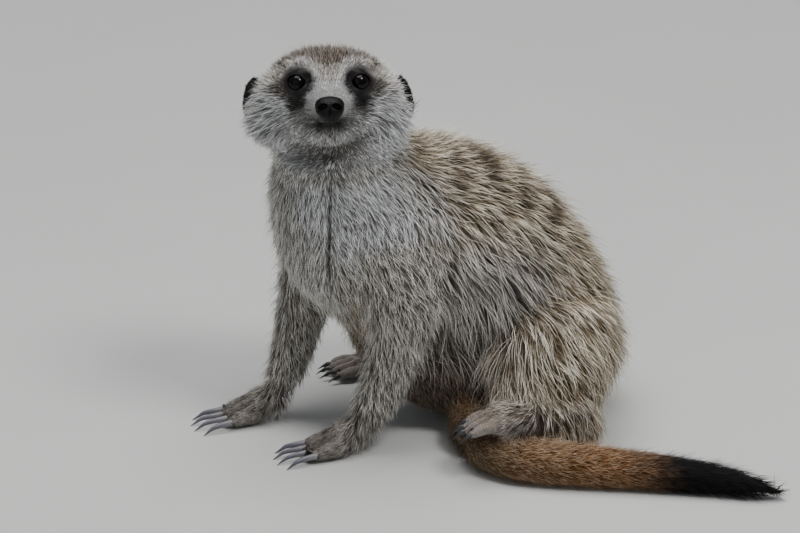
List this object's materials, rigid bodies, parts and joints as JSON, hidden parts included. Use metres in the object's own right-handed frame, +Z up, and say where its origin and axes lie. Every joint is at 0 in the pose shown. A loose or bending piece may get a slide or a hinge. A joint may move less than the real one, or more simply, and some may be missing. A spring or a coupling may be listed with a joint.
{
  "type": "meerkat",
  "caption": "Life-size still model of a meerkat sitting on its rump, forelegs planted, back hunched, head turned to its left and tail curled round under the left hind foot.",
  "frame": {"origin": "middle of the model's box, at floor level", "axes": "-Y the way the trunk and forepaws point, +X the animal's left, +Z up"},
  "size_m": [0.2102, 0.2336, 0.1913],
  "materials": {
    "coat_body": "grizzled buff and brown fur over skin, matt",
    "coat_front": "grey-white fur of throat and chest, matt",
    "coat_face": "short cream and grey fur with black patches round the eyes, matt",
    "coat_feet": "very short pale fur, matt",
    "coat_tail": "rusty tan fur, matt",
    "coat_tail_tip": "black fur, matt",
    "nose": "moist dark skin, half gloss",
    "ear": "black fur and skin, matt",
    "eye": "very dark brown globe, gloss",
    "claw": "blue-grey horn, satin"
  },
  "bodies": {
    "root": {"belly": "coat_body", "chest": "coat_front", "ear_left": "ear", "ear_right": "ear", "eye_left": "eye", "eye_right": "eye", "fore_claw_left_1": "claw", "fore_claw_left_2": "claw", "fore_claw_left_3": "claw", "fore_claw_left_4": "claw", "fore_claw_right_1": "claw", "fore_claw_right_2": "claw", "fore_claw_right_3": "claw", "fore_claw_right_4": "claw", "forearm_left": "coat_body", "forearm_right": "coat_body", "forepaw_left": "coat_feet", "forepaw_right": "coat_feet", "head": "coat_face", "hind_claw_left_1": "claw", "hind_claw_left_2": "claw", "hind_claw_left_3": "claw", "hind_claw_left_4": "claw", "hind_claw_right_1": "claw", "hind_claw_right_2": "claw", "hind_claw_right_3": "claw", "hind_claw_right_4": "claw", "hind_foot_left": "coat_feet", "hind_foot_right": "coat_feet", "neck": "coat_front", "nose": "nose", "rump": "coat_body", "shank_left": "coat_body", "shank_right": "coat_body", "tail_1": "coat_tail", "tail_2": "coat_tail", "tail_3": "coat_tail", "tail_4": "coat_tail_tip", "thigh_left": "coat_body", "thigh_right": "coat_body", "upper_arm_left": "coat_body", "upper_arm_right": "coat_body"}
  },
  "joints": []
}
